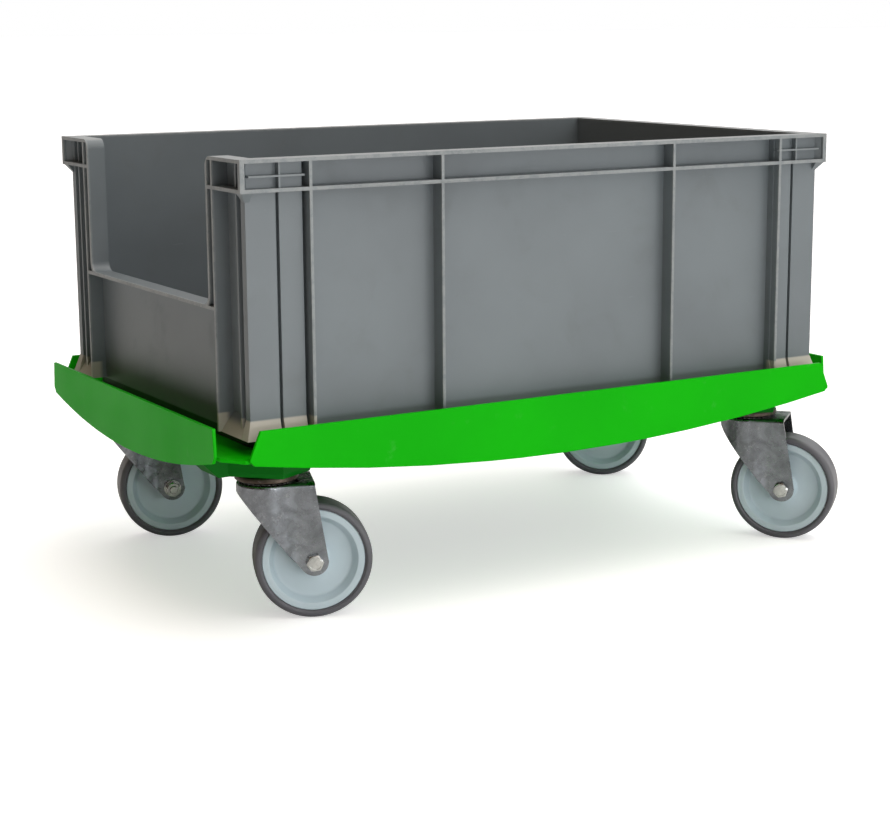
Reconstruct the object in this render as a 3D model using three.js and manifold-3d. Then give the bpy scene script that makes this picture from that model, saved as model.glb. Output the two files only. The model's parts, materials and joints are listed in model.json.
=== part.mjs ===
// Platform trolley: a steel dolly on four swivel castors, with an open-fronted stacking container on it.
// Millimetres, +Z up, X along the length; the container's pick opening faces -X.
// The origin is on the floor, in the middle of the area that the trolley covers.
import * as THREE from "three";
import { mergeVertices } from "three/addons/utils/BufferGeometryUtils.js";
import Module from "manifold-3d";

const wasm = await Module();
wasm.setup();

// ---- Driving dimensions -------------------------------------------------------------------------

const GAP = 0.3; // clearance between pieces that touch
const OVER = 1; // how far a cutter runs past the face it cuts

// The back castors stand out past the plates, so the dolly's middle is this far from the origin.
const MIDDLE_X = -7;
const MIDDLE_Y = 6.6;

// Dolly frame: a deck plate between four upright side plates
const FRAME_LENGTH = 641.4; // over the end plates' outer faces
const FRAME_WIDTH = 428; // over the side plates' outer faces
const SHEET = 3; // steel sheet of the deck and the side plates
const DECK_TOP = 150; // height of the deck's upper face
const PLATE_TOP = 173.5; // height of the side plates' upper edge
const LONG_PLATE_TOP_LENGTH = 583.4;
const LONG_PLATE_SPREAD = 10; // how far each end leans out between the upper edge and the deck
const LONG_PLATE_LOW = 121.5; // height of the lower edge at the middle
const LONG_PLATE_RADIUS = 1854; // radius of the lower edge
const SHORT_PLATE_TOP_LENGTH = 369.8;
const SHORT_PLATE_SPREAD = 2;
const SHORT_PLATE_LOW = 122.6;
const SHORT_PLATE_RADIUS = 783;
const PLATE_CORNER = 4; // how far the lower corners are cut off
const DECK_LEDGE_X = 84; // width of the deck left at each end of its opening
const DECK_LEDGE_Y = 62; // width of the deck left at each side of its opening
const DECK_GUSSET = 92; // size of the triangles left in the opening's corners

// Castors
const CASTOR_SPACING_X = 514;
const CASTOR_SHIFT_X = -1.5; // the castors' middle from the dolly's middle
const CASTOR_SPACING_Y = 306;
const WHEEL_RADIUS = 50;
const TRAIL = 36.7; // from the swivel axis to the axle
const HEADINGS = { front_left: -15, front_right: -21, back_left: -34, back_right: -49 }; // degrees
const NUT_TOWARDS_RIGHT = ["front_left"]; // castors whose axle nut is on the right of the heading

// Corner bracket: a six-sided pan under the deck, with an arm that rises to the end plate
const BRACKET_BASE = 125; // height of its underside, where the castor is bolted on
const BRACKET_SHEET = 3;
const BRACKET_EDGE = 4; // height of the slope round its lower edge
const BRACKET_EDGE_SCALE = 0.95; // size of the underside against the walls
const BRACKET_INSIDE_SCALE = 0.89; // size of the hollow against the walls
const BRACKET_OUTLINE = [[-33, 18], [-33, -18], [-18, -33], [18, -33], [36, 2], [2, 36]]; // +X, +Y corner
const ARM_RIGHT = -33; // the arm's sides at the +X, +Y corner
const ARM_LEFT = 2;
const ARM_FLAT = 44.5; // how far out its underside stays level
const ARM_RISE = 14; // how far it has risen at the end plate

// Swivel head
const KING_BOLT_RADIUS = 6;
const KING_BOLT_HEAD_RADIUS = 10;
const KING_BOLT_HEAD_HEIGHT = 5.5;
const KING_NUT_RADIUS = 10.5;
const KING_NUT_HEIGHT = 9;
const KING_BOLT_PROUD = 2; // how far the bolt stands out of its nut
const HEAD_RADIUS = 27;
const HEAD_LIP = 2.2; // thickness of the upper race's lip, and how far it reaches down round the balls
const HEAD_CHAMFER = 1;
const BALL_RADIUS = 1.6;
const BALL_CIRCLE = 21;
const BALL_COUNT = 8;
const CAGE_WIDTH = 3;
const CAGE_HEIGHT = 1.2;
const RUNNING = 0.35; // clearance of parts that turn on each other

// Fork: a pressed sheet with a round crown and two legs that come closer to the wheel behind it
const FORK_TOP = 118.5;
const FORK_SHEET = 2.5;
const CROWN_RADIUS = 25.8;
const CROWN_LEG_HALF = 24.5; // from the middle to the legs' outer faces at the crown
const LEG_GAP = 34.6; // between the legs' inner faces at the axle
const LEG_FLARE_START = 9; // where the crown's skirt starts to come in, measured along the heading
const LEG_FLARE_END = 24; // where it has reached the straight part of the legs
const LEG_LEAN_START = 62; // height above which the legs lean outwards
const FORK_TIP_RADIUS = 12;
const FORK_BACK = 38; // rear edge of the crown
const SKIRT_HEIGHT = 8; // height of the crown's skirt at its front

// Wheel
const HUB_RADIUS = 43.4;
const HUB_WIDTH = 27.6;
const HUB_RING_RADIUS = 37.4; // where the hub's flat ring ends and its recess starts
const WEB_RADIUS = 32; // where the recess reaches the web
const WEB_THICKNESS = 12;
const BOSS_RADIUS = 12;
const BOSS_WIDTH = 33;
const BOSS_TAPER = 1;
const TYRE_WIDTH = 31;
const TYRE_SHOULDER = 3.5;
const TYRE_DISH = 1; // how far the tyre's side falls in towards the hub
const SLEEVE_RADIUS = 6;

// Axle
const AXLE_RADIUS = 4;
const AXLE_HEAD_RADIUS = 7.5; // over the corners
const AXLE_HEAD_HEIGHT = 5.3;
const AXLE_NUT_RADIUS = 7.5;
const AXLE_NUT_HEIGHT = 6.5;
const AXLE_PROUD = 1.8;
const WASHER_RADIUS = 8.2;
const WASHER_THICKNESS = 1.5;

// Container
const BOX_LENGTH = 600;
const BOX_WIDTH = 400;
const BOX_SHIFT_X = 2.4; // the loose container's middle from the dolly's middle
const BOX_TOP = 387.3; // height of the rim's upper face
const WALL_INSET = 14; // from the rim's outer edge to the walls
const WALL = 3;
const BOX_FLOOR = 4; // thickness of the floor
const STEP_HEIGHT = 11; // height of the stepped-in base that nests in a container below
const STEP_INSET = 18;
const STEP_CORNER = 20; // corner radius of the base
const LEDGE = 3; // thickness of the rim's two ledges
const RIM_HEIGHT = 26.4; // over both ledges
const RIB = 2.6; // thickness of the upright ribs
const LONG_RIBS = [-238, -115.7, 123.4, 245]; // the long sides' ribs, from the container's middle
const POST_INSET = 7; // from the rim's outer edge to the corner posts' face
const POST_LENGTH = 57.2; // along the long side
const POST_GROOVE = 3; // width of the groove down each post
const POST_GROOVE_AT = 35; // from the rim's end to the groove's middle
const POST_GROOVE_DEPTH = 5;
const POST_LIP = 3; // width of the post's edge on the short side
const FOOT_TOP = 178; // height where the feet start to flare
const FOOT_BOTTOM = 162;
const FOOT_FLARE = 5;
const SHORT_RIB = 55.3; // from the rim's corner to the short sides' main ribs, as deep as the rim
const THIN_RIB = 24; // and to their thin ribs, as deep as the posts
const RIM_COLUMN = 4; // width of the upright at the rim's corners
const RIM_GUSSET = 9; // height of the gusset under the rim's corners
const CROSS_RIB_HEIGHT = 13; // of the cross rib in the rim's corner cells, below the rim's top
const CROSS_RIB = 1.5;
const CROSS_RIB_START = 8; // from the rim's end to the cross rib
const OPENING_INSET = 67; // from the rim's corner to the pick opening
const OPENING_SILL = 265; // height of the opening's sill
const OPENING_RADIUS = 9.5; // lower corners
const OPENING_FLARE = 9; // radius where the opening meets the rim

// Facets round a turned piece, or along a curve
const STEEL_SEGMENTS = 16;
const WHEEL_SEGMENTS = 32;
const CAGE_SEGMENTS = 12;
const BOW_SEGMENTS = 20;
const HEX = 6; // sides of a nut or a bolt head

// ---- Materials ----------------------------------------------------------------------------------

const paint = { color: 0x16a30d, roughness: 0.42, metalness: 0.0 };
const darkPaint = { color: 0x003c10, roughness: 0.45, metalness: 0.0 };
const zinc = { color: 0x9b9c9c, roughness: 0.35, metalness: 0.9 };
const brightZinc = { color: 0xc4c5c2, roughness: 0.28, metalness: 0.9 };
const tyreRubber = { color: 0x55555c, roughness: 0.75, metalness: 0.0 };
const hubPlastic = { color: 0xa9bbc4, roughness: 0.5, metalness: 0.0 };
const containerPlastic = { color: 0x80898d, roughness: 0.5, metalness: 0.0 };
const nylon = { color: 0xd8d6cc, roughness: 0.5, metalness: 0.0 };

// ---- Geometry helpers ---------------------------------------------------------------------------

// A closed three.js geometry as a solid that can be joined and cut.
function solidOf(geometry) {
  const bare = geometry.clone();
  bare.deleteAttribute("normal");
  bare.deleteAttribute("uv");
  const merged = mergeVertices(bare, 1e-4);
  const source = merged.index.array;
  const triangles = [];
  for (let i = 0; i < source.length; i += 3) {
    const [a, b, c] = [source[i], source[i + 1], source[i + 2]];
    if (a !== b && b !== c && c !== a) triangles.push(a, b, c);
  }
  return new wasm.Manifold(
    new wasm.Mesh({
      numProp: 3,
      vertProperties: new Float32Array(merged.attributes.position.array),
      triVerts: new Uint32Array(triangles),
    }),
  );
}

// A solid as a three.js geometry with flat shading.
function geometryOf(solid) {
  const mesh = solid.getMesh();
  const geometry = new THREE.BufferGeometry();
  const places = new Float32Array(mesh.vertProperties);
  geometry.setAttribute("position", new THREE.BufferAttribute(places, 3));
  geometry.setIndex(new THREE.BufferAttribute(new Uint32Array(mesh.triVerts), 1));
  const flat = geometry.toNonIndexed();
  flat.computeVertexNormals();
  return flat;
}

// One geometry out of several: all of "add" joined, with all of "remove" cut away.
function build(add, remove = []) {
  let result = solidOf(add[0]);
  for (const piece of add.slice(1)) result = result.add(solidOf(piece));
  for (const piece of remove) result = result.subtract(solidOf(piece));
  return geometryOf(result);
}

// What two geometries have in common.
function common(first, second) {
  return geometryOf(solidOf(first).intersect(solidOf(second)));
}

// A box between two corners.
function box(x0, x1, y0, y1, z0, z1) {
  const geometry = new THREE.BoxGeometry(x1 - x0, y1 - y0, z1 - z0);
  return geometry.translate((x0 + x1) / 2, (y0 + y1) / 2, (z0 + z1) / 2);
}

// A box whose lower and upper rectangles, each [x0, x1, y0, y1], differ.
function taperedBox(lower, upper, z0, z1) {
  const geometry = new THREE.BoxGeometry(1, 1, 1);
  const place = geometry.attributes.position;
  for (let i = 0; i < place.count; i++) {
    const low = place.getZ(i) < 0;
    const rectangle = low ? lower : upper;
    place.setXYZ(
      i,
      place.getX(i) < 0 ? rectangle[0] : rectangle[1],
      place.getY(i) < 0 ? rectangle[2] : rectangle[3],
      low ? z0 : z1,
    );
  }
  return geometry;
}

// A flat outline in X and Y, extruded from z0 up to z1.
function slab(shape, z0, z1, curveSegments = 8) {
  const options = { depth: z1 - z0, bevelEnabled: false, curveSegments };
  return new THREE.ExtrudeGeometry(shape, options).translate(0, 0, z0);
}

// An outline in X and Z, extruded from y0 to y1.
function slabAlongY(shape, y0, y1, curveSegments = 8) {
  return slab(shape, -y1, -y0, curveSegments).rotateX(Math.PI / 2);
}

// An outline in Y and Z, extruded from x0 to x1.
function slabAlongX(shape, x0, x1, curveSegments = 8) {
  return slab(shape, x0, x1, curveSegments)
    .rotateX(Math.PI / 2)
    .rotateZ(Math.PI / 2);
}

function outline(points) {
  return new THREE.Shape(points.map(([x, y]) => new THREE.Vector2(x, y)));
}

// A closed profile of [radius, height] pairs, upwards on its outside, turned about the Y axis.
function turnedAboutY(profile, segments) {
  const points = [...profile, profile[0]].map(([r, h]) => new THREE.Vector2(r, h));
  return new THREE.LatheGeometry(points, segments);
}

function turnedAboutZ(profile, segments) {
  return turnedAboutY(profile, segments).rotateX(Math.PI / 2);
}

// A ring or disc about Z, between two radii and two heights.
function ring(inner, outer, z0, z1, segments = STEEL_SEGMENTS) {
  return turnedAboutZ([[inner, z0], [outer, z0], [outer, z1], [inner, z1]], segments);
}

// A solid round or six-sided bar about Z, given over its corners.
function bar(radius, z0, z1, segments = STEEL_SEGMENTS) {
  return new THREE.CylinderGeometry(radius, radius, z1 - z0, segments)
    .rotateX(Math.PI / 2)
    .translate(0, 0, (z0 + z1) / 2);
}

function mesh(name, geometry, look) {
  const made = new THREE.Mesh(geometry, new THREE.MeshStandardMaterial(look));
  made.name = name;
  return made;
}

// ---- Dolly frame --------------------------------------------------------------------------------

const halfLength = FRAME_LENGTH / 2;
const halfWidth = FRAME_WIDTH / 2;
const deckHalfX = halfLength - SHEET - GAP;
const deckHalfY = halfWidth - SHEET - GAP;
const longEnd = LONG_PLATE_TOP_LENGTH / 2 + LONG_PLATE_SPREAD;
const shortEnd = SHORT_PLATE_TOP_LENGTH / 2 + SHORT_PLATE_SPREAD;

// The deck: a plate with four corners cut off from plate end to plate end, and an opening in its middle.
function deck() {
  const slope = (halfLength - longEnd) / (halfWidth - shortEnd); // run in X for each unit in Y
  const cutX = longEnd + (halfWidth - deckHalfY) * slope;
  const cutY = shortEnd + (halfLength - deckHalfX) / slope;
  const shape = outline(octagon(deckHalfX, deckHalfY, deckHalfX - cutX, deckHalfY - cutY));
  const holeX = deckHalfX - DECK_LEDGE_X;
  const holeY = deckHalfY - DECK_LEDGE_Y;
  shape.holes.push(outline(octagon(holeX, holeY, DECK_GUSSET, DECK_GUSSET)));
  return slab(shape, DECK_TOP - SHEET, DECK_TOP);
}

// A rectangle of the given half sizes, with cutX by cutY taken off each corner.
function octagon(halfX, halfY, cutX, cutY) {
  return [
    [halfX, -halfY + cutY], [halfX, halfY - cutY],
    [halfX - cutX, halfY], [-halfX + cutX, halfY],
    [-halfX, halfY - cutY], [-halfX, -halfY + cutY],
    [-halfX + cutX, -halfY], [halfX - cutX, -halfY],
  ];
}

// A side plate's outline: straight upper edge, leaning ends, bowed lower edge.
function plateShape(topLength, spread, low, radius) {
  const top = topLength / 2;
  const end = top + spread;
  const arcEnd = end - PLATE_CORNER;
  const angle = Math.asin(arcEnd / radius);
  const shape = new THREE.Shape();
  shape.moveTo(-top, PLATE_TOP);
  shape.lineTo(-end, DECK_TOP);
  shape.absarc(0, low + radius, radius, -Math.PI / 2 - angle, -Math.PI / 2 + angle, false);
  shape.lineTo(end, DECK_TOP);
  shape.lineTo(top, PLATE_TOP);
  return shape;
}

// A long side plate between two values of Y.
function longPlate(y0, y1) {
  const shape = plateShape(
    LONG_PLATE_TOP_LENGTH, LONG_PLATE_SPREAD, LONG_PLATE_LOW, LONG_PLATE_RADIUS,
  );
  return slabAlongY(shape, y0, y1, BOW_SEGMENTS);
}

// An end plate between two values of X.
function endPlate(x0, x1) {
  const shape = plateShape(
    SHORT_PLATE_TOP_LENGTH, SHORT_PLATE_SPREAD, SHORT_PLATE_LOW, SHORT_PLATE_RADIUS,
  );
  return slabAlongX(shape, x0, x1, BOW_SEGMENTS);
}

function frameMeshes() {
  return [
    mesh("deck_frame", deck(), paint),
    mesh("right_side_plate", longPlate(-halfWidth, -halfWidth + SHEET), paint),
    mesh("left_side_plate", longPlate(halfWidth - SHEET, halfWidth), paint),
    mesh("front_end_plate", endPlate(-halfLength, -halfLength + SHEET), paint),
    mesh("back_end_plate", endPlate(halfLength - SHEET, halfLength), paint),
  ];
}

// ---- Castors, each about its own swivel axis, with +X along the heading ---------------------------

const bracketTop = DECK_TOP - SHEET - GAP;
const boltHole = KING_BOLT_RADIUS + GAP;
const raceTop = BRACKET_BASE - GAP;
const ballHeight = FORK_TOP + GAP + BALL_RADIUS;
const raceBottom = ballHeight + BALL_RADIUS + GAP;
const kingHeadTop = FORK_TOP - FORK_SHEET - RUNNING;
const kingNutBase = BRACKET_BASE + BRACKET_SHEET + GAP;

// The bracket's outline for one corner, at a given size; the signs give the corner.
function bracketShape(alongX, alongY, size) {
  return outline(BRACKET_OUTLINE.map(([x, y]) => [x * alongX * size, y * alongY * size]));
}

// The bracket's arm towards the end plate, brought in by "inset" all round.
function bracketArm(alongX, alongY, inset, top) {
  const reach = deckHalfX - CASTOR_SPACING_X / 2 - alongX * CASTOR_SHIFT_X - inset;
  const low = BRACKET_BASE + inset;
  const points = [[0, low], [ARM_FLAT - inset, low], [reach, low + ARM_RISE], [reach, top], [0, top]];
  const shape = outline(points.map(([x, z]) => [x * alongX, z]));
  const sides = [(ARM_RIGHT + inset) * alongY, (ARM_LEFT - inset) * alongY];
  return slabAlongY(shape, Math.min(...sides), Math.max(...sides));
}

// An open pan with a hole for the king bolt and an arm to the end plate.
function bracket(alongX, alongY) {
  const edgeTop = BRACKET_BASE + BRACKET_EDGE;
  const floorTop = BRACKET_BASE + BRACKET_SHEET;
  const edge = slab(bracketShape(alongX, alongY, 1), BRACKET_BASE, edgeTop);
  const place = edge.attributes.position;
  for (let i = 0; i < place.count; i++) {
    const size = place.getZ(i) < edgeTop - OVER ? BRACKET_EDGE_SCALE : 1;
    place.setXY(i, place.getX(i) * size, place.getY(i) * size);
  }
  return build(
    [
      edge,
      slab(bracketShape(alongX, alongY, 1), edgeTop, bracketTop),
      bracketArm(alongX, alongY, 0, bracketTop),
    ],
    [
      slab(bracketShape(alongX, alongY, BRACKET_INSIDE_SCALE), floorTop, bracketTop + OVER),
      bracketArm(alongX, alongY, BRACKET_SHEET, bracketTop + OVER),
      bar(boltHole, BRACKET_BASE - OVER, floorTop + OVER),
    ],
  );
}

// The upper race: a cap over the ball ring, fixed under the bracket.
function upperRace() {
  const profile = [
    [boltHole, raceBottom],
    [HEAD_RADIUS - HEAD_LIP, raceBottom],
    [HEAD_RADIUS - HEAD_LIP, raceBottom - HEAD_LIP],
    [HEAD_RADIUS, raceBottom - HEAD_LIP],
    [HEAD_RADIUS, raceTop - HEAD_CHAMFER],
    [HEAD_RADIUS - HEAD_CHAMFER, raceTop],
    [boltHole, raceTop],
  ];
  return turnedAboutZ(profile, STEEL_SEGMENTS);
}

// The ball ring: the balls, held together by a thin cage.
function ballRing() {
  const cage = ring(
    BALL_CIRCLE - CAGE_WIDTH / 2, BALL_CIRCLE + CAGE_WIDTH / 2,
    ballHeight - CAGE_HEIGHT / 2, ballHeight + CAGE_HEIGHT / 2, CAGE_SEGMENTS,
  );
  const balls = [];
  for (let i = 0; i < BALL_COUNT; i++) {
    const angle = (i / BALL_COUNT) * Math.PI * 2;
    const ball = new THREE.IcosahedronGeometry(BALL_RADIUS, 0);
    balls.push(ball.translate(BALL_CIRCLE * Math.cos(angle), BALL_CIRCLE * Math.sin(angle), ballHeight));
  }
  return build([cage, ...balls]);
}

// The king bolt: head below the fork's crown, shank up through the race and the bracket.
function kingBolt() {
  const head = bar(KING_BOLT_HEAD_RADIUS, kingHeadTop - KING_BOLT_HEAD_HEIGHT, kingHeadTop, HEX);
  const shankTop = kingNutBase + KING_NUT_HEIGHT + KING_BOLT_PROUD;
  return build([head, bar(KING_BOLT_RADIUS, kingHeadTop - OVER, shankTop)]);
}

function kingNut() {
  const nut = bar(KING_NUT_RADIUS, kingNutBase, kingNutBase + KING_NUT_HEIGHT, HEX);
  return build([nut], [bar(boltHole, kingNutBase - OVER, kingNutBase + KING_NUT_HEIGHT + OVER)]);
}

const legOuter = LEG_GAP / 2 + FORK_SHEET;

// The fork's outline seen from above, brought in by "inset" all round except at its open back.
function forkPlan(inset, back, legHalf) {
  const radius = CROWN_RADIUS - inset;
  const shape = new THREE.Shape();
  const flareY = Math.sqrt(radius ** 2 - LEG_FLARE_START ** 2);
  const angle = Math.atan2(flareY, LEG_FLARE_START);
  shape.moveTo(back, -(legHalf - inset));
  shape.lineTo(back, legHalf - inset);
  shape.lineTo(LEG_FLARE_END, legHalf - inset);
  shape.absarc(0, 0, radius, angle, Math.PI * 2 - angle, false);
  shape.lineTo(LEG_FLARE_END, -(legHalf - inset));
  return shape;
}

// The space inside that outline: its legs are upright at first, then lean out towards the crown.
function forkBlocks(inset, back, bottom, top) {
  const leaning = slab(forkPlan(inset, back, CROWN_LEG_HALF), LEG_LEAN_START, top);
  const place = leaning.attributes.position;
  for (let i = 0; i < place.count; i++) {
    const low = place.getZ(i) < LEG_LEAN_START + OVER;
    if (low && place.getX(i) > LEG_FLARE_END - OVER) {
      place.setY(i, Math.sign(place.getY(i)) * (legOuter - inset));
    }
  }
  return [slab(forkPlan(inset, back, legOuter), bottom, LEG_LEAN_START), leaning];
}

// The fork's outline seen from the side: crown, sloping front edge, round end about the axle.
function forkSide() {
  const shape = new THREE.Shape();
  const front = new THREE.Vector2(-CROWN_RADIUS - OVER, FORK_TOP - SKIRT_HEIGHT);
  const axle = new THREE.Vector2(TRAIL, WHEEL_RADIUS);
  const reach = front.distanceTo(axle);
  const towards = Math.atan2(front.y - axle.y, front.x - axle.x);
  const tangent = towards + Math.acos(FORK_TIP_RADIUS / reach);
  shape.moveTo(front.x, FORK_TOP + OVER);
  shape.lineTo(front.x, front.y);
  shape.absarc(axle.x, axle.y, FORK_TIP_RADIUS, tangent, Math.PI * 2, false);
  shape.lineTo(FORK_BACK, FORK_TOP - FORK_SHEET);
  shape.lineTo(FORK_BACK, FORK_TOP + OVER);
  return shape;
}

function fork() {
  const bottom = WHEEL_RADIUS - FORK_TIP_RADIUS - OVER;
  const back = TRAIL + FORK_TIP_RADIUS + OVER;
  const skin = build(forkBlocks(0, back, bottom, FORK_TOP));
  const side = slabAlongY(forkSide(), -CROWN_RADIUS - OVER, CROWN_RADIUS + OVER);
  const inside = forkBlocks(FORK_SHEET, back + OVER, bottom - OVER, FORK_TOP - FORK_SHEET);
  const kingHole = bar(KING_BOLT_RADIUS + RUNNING, FORK_TOP - FORK_SHEET - OVER, FORK_TOP + OVER);
  const axleHole = bar(AXLE_RADIUS + GAP, -CROWN_RADIUS, CROWN_RADIUS)
    .rotateX(Math.PI / 2)
    .translate(TRAIL, 0, WHEEL_RADIUS);
  return build([common(skin, side)], [...inside, kingHole, axleHole]);
}

// The axle's pieces lie along Y at the wheel's centre; "side" is +1 where the nut is on the left.
const nutSeat = legOuter + GAP + WASHER_THICKNESS + GAP;

function alongAxle(geometry, side) {
  return geometry.rotateX((-side * Math.PI) / 2);
}

function axleBolt(side) {
  const head = bar(AXLE_HEAD_RADIUS, -legOuter - GAP - AXLE_HEAD_HEIGHT, -legOuter - GAP, HEX);
  const end = nutSeat + AXLE_NUT_HEIGHT + AXLE_PROUD;
  return alongAxle(build([head, bar(AXLE_RADIUS, -legOuter - GAP - OVER, end)]), side);
}

function axleNut(side) {
  const nut = bar(AXLE_NUT_RADIUS, nutSeat, nutSeat + AXLE_NUT_HEIGHT, HEX);
  const hole = bar(AXLE_RADIUS + GAP, nutSeat - OVER, nutSeat + AXLE_NUT_HEIGHT + OVER);
  return alongAxle(build([nut], [hole]), side);
}

function axleWasher(side) {
  const start = legOuter + GAP;
  return alongAxle(ring(AXLE_RADIUS + GAP, WASHER_RADIUS, start, start + WASHER_THICKNESS), side);
}

function axleSleeve() {
  const half = LEG_GAP / 2 - GAP;
  const bore = AXLE_RADIUS + GAP;
  const profile = [
    [bore, -half],
    [SLEEVE_RADIUS, -half],
    [SLEEVE_RADIUS, half],
    [bore, half],
  ];
  return turnedAboutY(profile, STEEL_SEGMENTS);
}

// The wheel's hub: a flat outer ring, a recess down to the web, and a boss that runs on the sleeve.
function hub() {
  const ringHalf = HUB_WIDTH / 2;
  const webHalf = WEB_THICKNESS / 2;
  const bossHalf = BOSS_WIDTH / 2;
  const bore = SLEEVE_RADIUS + RUNNING;
  const upper = [
    [HUB_RADIUS, ringHalf],
    [HUB_RING_RADIUS, ringHalf],
    [WEB_RADIUS, webHalf],
    [BOSS_RADIUS, webHalf],
    [BOSS_RADIUS - BOSS_TAPER, bossHalf],
    [bore, bossHalf],
  ];
  return turnedAboutY(mirrored(upper), WHEEL_SEGMENTS);
}

function tyre() {
  const half = TYRE_WIDTH / 2;
  const seat = HUB_RADIUS + GAP;
  const upper = [
    [WHEEL_RADIUS, half - TYRE_SHOULDER],
    [WHEEL_RADIUS - TYRE_SHOULDER / 4, half - TYRE_SHOULDER / 3],
    [WHEEL_RADIUS - TYRE_SHOULDER, half],
    [seat, half - TYRE_DISH],
  ];
  return turnedAboutY(mirrored(upper), WHEEL_SEGMENTS);
}

// A whole turned profile from its upper half, which runs from the outside in.
function mirrored(upper) {
  const lower = upper.map(([r, h]) => [r, -h]).reverse();
  return [...lower, ...upper];
}

function castor(place, alongX, alongY) {
  const heading = THREE.MathUtils.degToRad(HEADINGS[place]);
  const side = NUT_TOWARDS_RIGHT.includes(place) ? -1 : 1;
  const fixed = new THREE.Group();
  fixed.add(
    mesh("corner_bracket_" + place, bracket(alongX, alongY), darkPaint),
    mesh("upper_race_" + place, upperRace(), zinc),
    mesh("king_bolt_" + place, kingBolt(), brightZinc),
    mesh("king_nut_" + place, kingNut(), brightZinc),
  );
  const wheel = new THREE.Group();
  wheel.position.set(TRAIL, 0, WHEEL_RADIUS);
  wheel.add(
    mesh("axle_bolt_" + place, axleBolt(side), brightZinc),
    mesh("axle_nut_" + place, axleNut(side), brightZinc),
    mesh("axle_washer_" + place, axleWasher(side), brightZinc),
    mesh("axle_sleeve_" + place, axleSleeve(), brightZinc),
    mesh("wheel_hub_" + place, hub(), hubPlastic),
    mesh("tyre_" + place, tyre(), tyreRubber),
  );
  const turning = new THREE.Group();
  turning.rotation.z = heading;
  turning.add(
    mesh("ball_ring_" + place, ballRing(), nylon),
    mesh("fork_" + place, fork(), zinc),
    wheel,
  );
  const whole = new THREE.Group();
  whole.position.set(
    (alongX * CASTOR_SPACING_X) / 2 + CASTOR_SHIFT_X, (alongY * CASTOR_SPACING_Y) / 2, 0,
  );
  whole.add(fixed, turning);
  return whole;
}

// ---- Container ----------------------------------------------------------------------------------

const boxHalfX = BOX_LENGTH / 2;
const boxHalfY = BOX_WIDTH / 2;
const boxBase = DECK_TOP + GAP;
const rimBottom = BOX_TOP - RIM_HEIGHT;
const stepTop = boxBase + STEP_HEIGHT;
const wallFaceX = boxHalfX - WALL_INSET;
const wallFaceY = boxHalfY - WALL_INSET;

// A box centred on the trolley's axis, set in from the container's outline.
function centredBox(inset, z0, z1) {
  return box(-boxHalfX + inset, boxHalfX - inset, -boxHalfY + inset, boxHalfY - inset, z0, z1);
}

// The stepped-in base, with round corners.
function nestingBase() {
  const x = boxHalfX - STEP_INSET;
  const y = boxHalfY - STEP_INSET;
  const r = STEP_CORNER;
  const shape = new THREE.Shape();
  shape.moveTo(x, -y + r);
  shape.absarc(x - r, y - r, r, 0, Math.PI / 2, false);
  shape.absarc(-x + r, y - r, r, Math.PI / 2, Math.PI, false);
  shape.absarc(-x + r, -y + r, r, Math.PI, Math.PI * 1.5, false);
  shape.absarc(x - r, -y + r, r, Math.PI * 1.5, Math.PI * 2, false);
  return slab(shape, boxBase, stepTop + OVER, 6);
}

// The pick opening's outline in Y and Z, grown by "margin", open through the rim's top.
function openingShape(margin) {
  const half = boxHalfY - OPENING_INSET + margin;
  const sill = OPENING_SILL - margin;
  const low = OPENING_RADIUS + margin;
  const flare = Math.max(OPENING_FLARE - margin, OVER);
  const top = BOX_TOP + OVER;
  const shape = new THREE.Shape();
  shape.moveTo(-half - flare, top);
  shape.lineTo(-half - flare, BOX_TOP);
  shape.absarc(-half - flare, BOX_TOP - flare, flare, Math.PI / 2, 0, true);
  shape.absarc(-half + low, sill + low, low, Math.PI, Math.PI * 1.5, false);
  shape.absarc(half - low, sill + low, low, Math.PI * 1.5, Math.PI * 2, false);
  shape.absarc(half + flare, BOX_TOP - flare, flare, Math.PI, Math.PI / 2, true);
  shape.lineTo(half + flare, top);
  return shape;
}

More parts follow.
